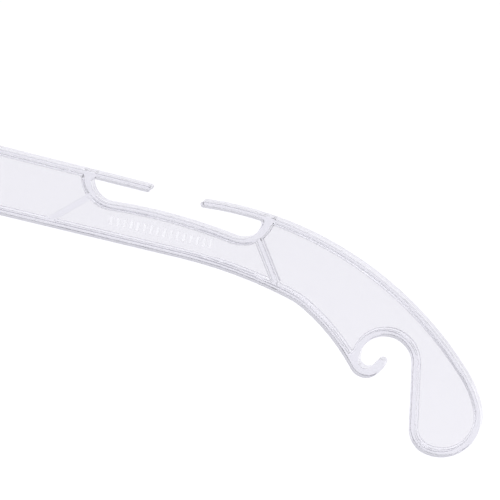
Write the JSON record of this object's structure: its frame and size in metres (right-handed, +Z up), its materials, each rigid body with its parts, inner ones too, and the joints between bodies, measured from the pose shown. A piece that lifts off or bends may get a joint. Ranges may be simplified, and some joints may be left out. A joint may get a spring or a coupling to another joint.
{
  "type": "clothes hanger",
  "caption": "Clear plastic top and dress hanger with strap slots, loop hooks, rounded shoulder paddles and a swivelling metal hook.",
  "frame": {"origin": "where the hanger hangs: the inside top of the hook, on the swivel axis", "axes": "+X along one arm (the arm with the raised bars), +Z up the hook's stem, -Y out of the front face"},
  "size_m": [0.429, 0.009, 0.227],
  "materials": {
    "clear_plastic": "clear polished moulded polystyrene",
    "ferrule_metal": "bright nickel-plated pressed steel",
    "hook_wire": "bright zinc-chrome plated drawn steel wire"
  },
  "bodies": {
    "hook": {"swivel_hook": "hook_wire"},
    "hanger": {"hanger_body": "clear_plastic", "hook_ferrule": "ferrule_metal"}
  },
  "joints": [
    {"name": "hook_swivel", "type": "hinge", "parent": "hook", "child": "hanger", "pos_m": [0, 0, 0], "axis": [0, 0, 1], "continuous": true}
  ]
}
